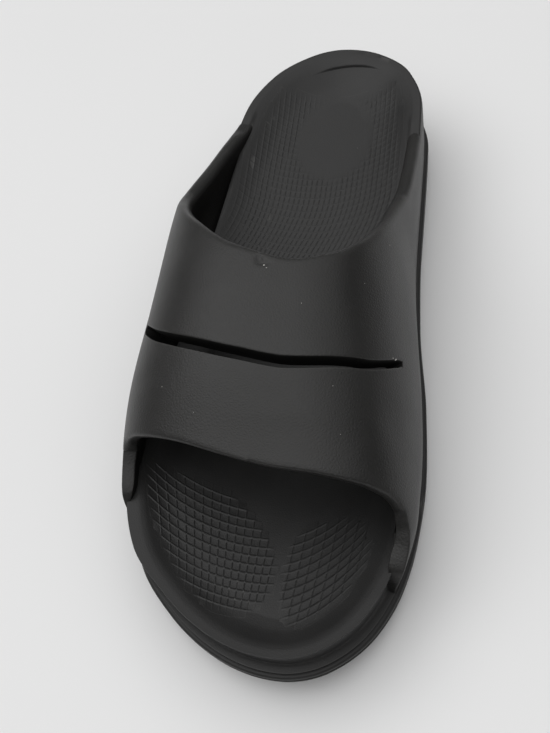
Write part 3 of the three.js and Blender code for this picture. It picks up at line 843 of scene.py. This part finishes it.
def inside_outline(outline, x, y):
    """Signed distance to a closed outline, positive inside."""
    nearest = np.full(np.shape(x), np.inf)
    inside = np.zeros(np.shape(x), bool)
    for (ax, ay), (bx, by) in zip(outline, outline[1:] + outline[:1]):
        dx, dy = bx - ax, by - ay
        share = np.clip(((x - ax) * dx + (y - ay) * dy) / (dx * dx + dy * dy), 0, 1)
        nearest = np.minimum(nearest, np.hypot(x - ax - share * dx, y - ay - share * dy))
        crosses = ((ay > y) != (by > y)) & (x < ax + (y - ay) / (dy if dy else 1.0) * dx)
        inside ^= crosses
    return np.where(inside, nearest, -nearest)


def rib_grid(name, sizes, span_x, span_y, gather):
    """The corners of a bent grid of ribs in millimetres, and how high each stands."""
    layout = RIB_LAYOUTS[name]
    width = sizes.rib_width / MM * layout["wide"]
    across, high_x = rib_stops(*span_x, layout["across"], width)
    down, high_y = rib_stops(*span_y, layout["along"], width)
    u, v = np.meshgrid(across, down, indexing="ij")
    x, y = u, v
    for _ in range(8):
        y = v + layout["bow"] * (x - RIB_MIDDLE) ** 2
        x = gather(u, y)
    return x, y, np.maximum(high_x[:, None] * layout["long"], high_y[None, :] * layout["cross"])


def lay_ribs(name, x, y, relief, inside):
    """Lays a ribbed skin on the footbed; it dips into the foam past its outline."""
    bed = np.where(inside < -RIB_DIP, -0.12 * MM, 0.02 * MM)
    dress(drape_ribs(name, x * MM, y * MM, relief + bed, inside), "footbed_foam", "midsole")


def drape_ribs(name, x, y, relief, keep):
    """Lays a ribbed skin on the footbed and keeps the part that carries ribs."""
    height = surface_finder("footbed")
    z = np.zeros(x.shape)
    for index in np.ndindex(x.shape):
        found = height(x[index], y[index]) if keep[index] > -RIB_REACH - 0.5 else None
        z[index] = 0.0 if found is None else found
    mesh = lattice(np.stack([x, y, z + relief], -1))
    columns, rows = x.shape[0] - 1, x.shape[1] - 1
    layer = mesh.loops.layers.uv["Places"]
    dropped = []
    for face in mesh.faces:
        spots = [(round(l[layer].uv.x * columns), round(l[layer].uv.y * rows)) for l in face.loops]
        if min(keep[spot] for spot in spots) < -RIB_REACH or min(z[spot] for spot in spots) == 0:
            dropped.append(face)
    bmesh.ops.delete(mesh, geom=dropped, context="FACES")
    bmesh.ops.delete(mesh, geom=[v for v in mesh.verts if not v.link_faces], context="VERTS")
    floor = min(vert.co.z for vert in mesh.verts) - 2 * MM
    rim = [edge for edge in mesh.edges if edge.is_boundary]
    skirt = bmesh.ops.extrude_edge_only(mesh, edges=rim)
    for item in skirt["geom"]:
        if isinstance(item, bmesh.types.BMVert):
            item.co.z = floor
    close_ends(mesh)
    bmesh.ops.recalc_face_normals(mesh, faces=mesh.faces[:])
    return piece_from(mesh, name, 60)


class SANDAL_OT_ribs(bpy.types.Operator):
    """Lays the moulded ribs on the toe pads, the arch and the heel of the footbed"""

    bl_idname = "sandal.ribs"
    bl_label = "Footbed ribs"

    def execute(self, context):
        last = shape()
        self.toe_pad("small_toe_ribs", SMALL_TOE_PAD, last.sizes)
        self.toe_pad("big_toe_ribs", BIG_TOE_PAD, last.sizes)
        self.heel_arc(last, last.sizes)
        self.heel_field(last, last.sizes)
        return {"FINISHED"}

    def toe_pad(self, name, outline, sizes):
        """One pad of raised ribs, bowed across and drawn together towards the toe."""
        xs = [point[0] for point in outline]
        gather = RIB_LAYOUTS[name]["gather"]
        x, y, ribs = rib_grid(
            name, sizes, (min(xs) - 8, max(xs) + 8), (-150, -60),
            lambda u, y: u * (1 - gather * (PAD_START - y)))
        inside = inside_outline(outline, x, y)
        lay_ribs(name, x, y, ribs * smooth(inside, 0.0, 0.9) * sizes.rib_height, inside)

    def heel_arc(self, last, sizes):
        """The low crescent step at the back of the heel."""
        out, up = np.array(ARC_PROFILE).T
        spread = np.radians(HEEL_ARC["spread"])
        radius = HEEL_ARC["radius"] * sizes.ball_width
        r, a = np.meshgrid(radius + out * MM, np.linspace(-spread, spread, 121), indexing="ij")
        x = last.x_of(HEEL_ARC["x"]) + r * np.sin(a)
        y = last.y_of(HEEL_ARC["along"]) + r * np.cos(a)
        share = np.abs(a) / spread
        fade = 1 - smooth(share, 0.35, 1.0)
        relief = up[:, None] * fade * HEEL_ARC["depth"] * sizes.ball_width
        relief = relief + np.where((up[:, None] > 0) & (share < 0.99), 0.015 * MM, -0.08 * MM)
        dress(drape_ribs("heel_arc", x, y, relief, np.zeros(x.shape)), "footbed_foam", "midsole")

    def heel_field(self, last, sizes):
        """Fine ribs over the heel and the arch, round a smooth oval."""
        bend, lean = HEEL_FIELD["bend"], HEEL_FIELD["lean"]
        x, y, ribs = rib_grid(
            "heel_ribs", sizes, (-62, 70), (-60, 124),
            lambda u, y: u - bend * np.clip(58 - y, 0, 26) ** 2 - lean * np.clip(32 - y, 0, None))
        along = last.along(y * MM)
        sides = np.minimum(
            last.side_x(y * MM, 0.0, True) - x * MM, x * MM - last.side_x(y * MM, 0.0, False)) / MM
        margin = HEEL_FIELD["margin"] + HEEL_FIELD["wider"] * (1 - smooth(along, 0.16, 0.25))
        ends = np.minimum(along - HEEL_FIELD["start"], HEEL_FIELD["end"] - along)
        inside = np.minimum(sides - margin, ends * sizes.length / MM)
        oval = np.hypot(
            (x * MM - last.x_of(SMOOTH_OVAL["x"])) / SMOOTH_OVAL["half_x"],
            (y * MM - last.y_of(SMOOTH_OVAL["along"])) / SMOOTH_OVAL["half_y"],
        ) / sizes.ball_width - 1
        mask = smooth(inside, 0.0, 4.0) * smooth(oval * 18, 0.0, 3.0)
        relief = ribs * mask * sizes.rib_height * HEEL_FIELD["relief"]
        lay_ribs("heel_ribs", x, y, relief, inside)


class SANDAL_OT_dust(bpy.types.Operator):
    """Scatters a few pale specks and the scuffed nick at the top of the collar"""

    bl_idname = "sandal.dust"
    bl_label = "Dust and nick"

    def execute(self, context):
        last = shape()
        finders = [surface_finder("strap"), surface_finder("footbed")]
        mesh = bmesh.new()
        rng = np.random.default_rng(7)
        for share, along, size in DUST_SPECKS:
            x, y = float(last.x_of(share)), float(last.y_of(along))
            heights = [finder(x, y, 0.12) for finder in finders]
            top = max(h for h in heights if h is not None)
            speck = bmesh.ops.create_icosphere(mesh, subdivisions=1, radius=size * MM / 2)
            for vert in speck["verts"]:
                vert.co *= 0.7 + 0.5 * rng.random()
                vert.co.z *= SPECK_FLATNESS
            bmesh.ops.translate(mesh, verts=speck["verts"], vec=(x, y, top))
        dress(piece_from(mesh, "dust", 60), "dust_fleck", "upper")
        return {"FINISHED"}


def new_group(name, inputs, outputs):
    """A shader node group, the sockets that it starts from and those that it ends in."""
    group = bpy.data.node_groups.new(name, "ShaderNodeTree")
    for label, default in inputs.items():
        kind = "NodeSocketColor" if isinstance(default, tuple) else "NodeSocketFloat"
        socket = group.interface.new_socket(name=label, in_out="INPUT", socket_type=kind)
        socket.default_value = default
    for label, kind in outputs.items():
        group.interface.new_socket(name=label, in_out="OUTPUT", socket_type=kind)
    start, end = group.nodes.new("NodeGroupInput"), group.nodes.new("NodeGroupOutput")
    return group, start.outputs, end.inputs


def join(tree, source, target):
    """Links a socket to the target, or gives the target a plain value."""
    if isinstance(source, bpy.types.NodeSocket):
        tree.links.new(source, target)
    else:
        target.default_value = source


def node_with(tree, kind, settings, **inputs):
    """A node with its settings and its named sockets fed."""
    node = tree.nodes.new("ShaderNode" + kind)
    for key, value in settings.items():
        setattr(node, key, value)
    for label, value in inputs.items():
        join(tree, value, node.inputs[label])
    return node


def math_node(tree, operation, *values):
    """The result of a math node fed by sockets or numbers."""
    node = node_with(tree, "Math", {"operation": operation})
    for socket, value in zip(node.inputs, values):
        join(tree, value, socket)
    return node.outputs[0]


def object_place(tree):
    """Coordinates that stay with the piece."""
    return tree.nodes.new("ShaderNodeTexCoord").outputs["Object"]


def noise(tree, place, scale, detail, roughness=0.5):
    """A noise texture on the given coordinates."""
    return node_with(
        tree, "TexNoise", {}, Vector=place, Scale=scale, Detail=detail, Roughness=roughness)


def spread(tree, value, source, target):
    """A value mapped from one span to another and held at its ends."""
    node = node_with(tree, "MapRange", {}, Value=value)
    for label, number in zip(("From Min", "From Max", "To Min", "To Max"), (*source, *target)):
        node.inputs[label].default_value = number
    return node.outputs[0]


def scaled(tree, colour, factor):
    """A colour times a factor."""
    node = node_with(tree, "VectorMath", {"operation": "SCALE"}, Vector=colour, Scale=factor)
    return node.outputs[0]


def grain_group():
    """Height of the fine leather grain and of the slow waves under it."""
    if "Foam grain" in bpy.data.node_groups:
        return bpy.data.node_groups["Foam grain"]
    group, start, end = new_group(
        "Foam grain", {"Cells": 900.0, "Fine": 0.35, "Waves": 0.4}, {"Height": "NodeSocketFloat"})
    place = object_place(group)
    warped = node_with(group, "VectorMath", {"operation": "MULTIPLY_ADD"})
    join(group, noise(group, place, 180.0, 2.0).outputs["Color"], warped.inputs[0])
    join(group, (0.0012, 0.0012, 0.0012), warped.inputs[1])
    join(group, place, warped.inputs[2])
    cells = node_with(
        group, "TexVoronoi", {"feature": "DISTANCE_TO_EDGE"}, Vector=warped.outputs[0],
        Scale=start["Cells"])
    height = math_node(group, "MULTIPLY", cells.outputs["Distance"], 3.2)
    height = math_node(group, "MINIMUM", height, 1.0)
    fine = noise(group, place, 2600.0, 3.0, 0.6)
    height = math_node(group, "MULTIPLY_ADD", fine.outputs[0], start["Fine"], height)
    waves = noise(group, place, 95.0, 2.0)
    height = math_node(group, "MULTIPLY_ADD", waves.outputs[0], start["Waves"], height)
    join(group, height, end["Height"])
    return group


def tone_group():
    """Colour and roughness of foam, mottled, dusted in patches and rubbed on its edges."""
    if "Foam tone" in bpy.data.node_groups:
        return bpy.data.node_groups["Foam tone"]
    group, start, end = new_group(
        "Foam tone",
        {"Foam": (0.03, 0.03, 0.03, 1), "Dust": (0.4, 0.4, 0.4, 1), "Roughness": 0.5,
         "Dusting": 0.02, "Rub": 0.15},
        {"Colour": "NodeSocketColor", "Roughness": "NodeSocketFloat"})
    place = object_place(group)
    mottle = noise(group, place, 38.0, 4.0, 0.55).outputs[0]
    patches = noise(group, place, 14.0, 3.0).outputs[0]
    specks = noise(group, place, 1900.0, 1.0).outputs[0]
    tinted = scaled(group, start["Foam"], spread(group, mottle, (0.3, 0.7), (0.86, 1.14)))
    edge = group.nodes.new("ShaderNodeNewGeometry").outputs["Pointiness"]
    worn = spread(group, edge, (0.52, 0.60), (0.0, 1.0))
    rub = math_node(group, "MULTIPLY", worn, start["Rub"])
    film = math_node(group, "GREATER_THAN", specks, 0.74)
    film = math_node(group, "MULTIPLY_ADD", film, 3.0, patches)
    film = math_node(group, "MULTIPLY", film, start["Dusting"])
    blend = node_with(group, "Mix", {"data_type": "RGBA"})
    join(group, math_node(group, "MULTIPLY_ADD", rub, 0.12, film), blend.inputs["Factor"])
    join(group, tinted, blend.inputs[6])
    join(group, start["Dust"], blend.inputs[7])
    join(group, blend.outputs[2], end["Colour"])
    rough = math_node(group, "SUBTRACT", mottle, 0.5)
    rough = math_node(group, "MULTIPLY_ADD", rough, 0.16, start["Roughness"])
    join(group, math_node(group, "MULTIPLY_ADD", rub, -0.25, rough), end["Roughness"])
    return group


def new_material(name):
    """A material with its node tree and its shader."""
    material = bpy.data.materials.new(name)
    material.use_nodes = True
    return material, material.node_tree, material.node_tree.nodes["Principled BSDF"]


def foam(name):
    """One of the finishes: tone, grain and a soft satin gloss."""
    if name in bpy.data.materials:
        return bpy.data.materials[name]
    finish = FINISHES[name]
    look = bpy.context.scene.sandal_look
    colour = [part * finish["tint"] for part in getattr(look, finish["colour"])]
    material, tree, surface = new_material(name)
    tone = node_with(
        tree, "Group", {"node_tree": tone_group()}, Foam=(*colour, 1), Dust=(*look.dust_colour, 1),
        Roughness=look.gloss + finish["rougher"], Dusting=finish["dusting"], Rub=finish["rub"])
    grain = node_with(
        tree, "Group", {"node_tree": grain_group()}, Cells=finish["cells"] / look.grain_cell,
        Fine=finish["fine"], Waves=finish["waves"])
    bump = node_with(
        tree, "Bump", {}, Strength=1.0, Distance=finish["depth"], Height=grain.outputs["Height"])
    join(tree, tone.outputs["Colour"], surface.inputs["Base Color"])
    join(tree, tone.outputs["Roughness"], surface.inputs["Roughness"])
    join(tree, bump.outputs["Normal"], surface.inputs["Normal"])
    join(tree, finish["sheen"], surface.inputs["Specular IOR Level"])
    return material


class SANDAL_OT_studio(bpy.types.Operator):
    """Sets the pale floor, the soft lights and the camera at the photographed angle"""

    bl_idname = "sandal.studio"
    bl_label = "Studio"

    def execute(self, context):
        mesh = bmesh.new()
        bmesh.ops.create_grid(mesh, x_segments=8, y_segments=8, size=8.0)
        floor = piece_from(mesh, "floor")
        floor.data.materials.append(self.floor_material(context.scene.sandal_look))
        for lamp in LAMPS:
            self.light(*lamp)
        context.scene.world = self.room()
        view = bpy.data.cameras.new("camera")
        view.sensor_fit = "VERTICAL"
        view.sensor_height = 36.0
        view.lens = CAMERA["lens"]
        camera = bpy.data.objects.new("camera", view)
        camera.location = CAMERA["place"]
        camera.rotation_euler = Euler([math.radians(a) for a in CAMERA["turn"]], "XYZ")
        context.scene.collection.objects.link(camera)
        context.scene.camera = camera
        context.scene.view_settings.view_transform = "Standard"
        return {"FINISHED"}

    def room(self):
        """A room lit from a broad pale ceiling that is brightest towards the back."""
        world = bpy.data.worlds.new("soft_room")
        world.use_nodes = True
        tree = world.node_tree
        way = tree.nodes.new("ShaderNodeTexCoord").outputs["Generated"]
        parts = node_with(tree, "SeparateXYZ", {}, Vector=way).outputs
        level = math_node(tree, "MULTIPLY_ADD", parts["Y"], ROOM["back"], ROOM["middle"])
        level = math_node(tree, "MULTIPLY_ADD", parts["X"], ROOM["side"], level)
        ceiling = spread(tree, parts["Z"], ROOM["edge"], ROOM["levels"])
        level = math_node(tree, "MULTIPLY", ceiling, level)
        seen = tree.nodes.new("ShaderNodeLightPath").outputs["Is Camera Ray"]
        seen = math_node(tree, "MULTIPLY", seen, ROOM["seen"])
        background = tree.nodes["Background"].inputs
        join(tree, (1.0, 1.0, 1.0, 1.0), background["Color"])
        join(tree, math_node(tree, "MAXIMUM", level, seen), background["Strength"])
        return world

    def floor_material(self, look):
        """A matt pale floor with a trace of tone in it."""
        material, tree, surface = new_material("studio_floor")
        cloud = noise(tree, object_place(tree), 3.0, 2.0).outputs[0]
        tone = scaled(tree, look.floor_colour, spread(tree, cloud, (0.0, 1.0), (0.97, 1.03)))
        join(tree, tone, surface.inputs["Base Color"])
        join(tree, 0.8, surface.inputs["Roughness"])
        join(tree, 0.2, surface.inputs["Specular IOR Level"])
        return material

    def light(self, name, place, size, power):
        """A square soft light aimed at the sandal."""
        lamp = bpy.data.lights.new(name, "AREA")
        lamp.size = size
        lamp.energy = power
        holder = bpy.data.objects.new(name, lamp)
        holder.location = place
        holder.rotation_euler = Vector(place).to_track_quat("Z", "Y").to_euler()
        bpy.context.scene.collection.objects.link(holder)


class SANDAL_PT_panel(bpy.types.Panel):
    """Lists the pieces of the sandal and the studio"""

    bl_idname = "SANDAL_PT_panel"
    bl_label = "Foam slide sandal"
    bl_space_type = "VIEW_3D"
    bl_region_type = "UI"
    bl_category = "Sandal"

    def draw(self, context):
        column = self.layout.column()
        for name in ("length", "ball_width", "rim_height", "strap_height", "strap_wall"):
            column.prop(context.scene.sandal_sizes, name)
        column.prop(context.scene.sandal_sizes, "slot_width")
        for name in ("strap_colour", "footbed_colour", "outsole_colour", "grain_cell", "gloss"):
            column.prop(context.scene.sandal_look, name)
        for operator in STEPS:
            column.operator(operator.bl_idname)


STEPS = (
    SANDAL_OT_strap,
    SANDAL_OT_footbed,
    SANDAL_OT_ribs,
    SANDAL_OT_outsole,
    SANDAL_OT_dust,
    SANDAL_OT_studio,
)
CLASSES = (SandalSizes, SandalLook, *STEPS, SANDAL_PT_panel)


def register():
    for item in CLASSES:
        bpy.utils.register_class(item)
    bpy.types.Scene.sandal_sizes = bpy.props.PointerProperty(type=SandalSizes)
    bpy.types.Scene.sandal_look = bpy.props.PointerProperty(type=SandalLook)


def unregister():
    del bpy.types.Scene.sandal_look
    del bpy.types.Scene.sandal_sizes
    for item in reversed(CLASSES):
        bpy.utils.unregister_class(item)


def main():
    """Builds every piece in order."""
    register()
    bpy.ops.sandal.strap()
    bpy.ops.sandal.footbed()
    bpy.ops.sandal.ribs()
    bpy.ops.sandal.outsole()
    bpy.ops.sandal.dust()
    bpy.ops.sandal.studio()


if __name__ == "__main__":
    main()
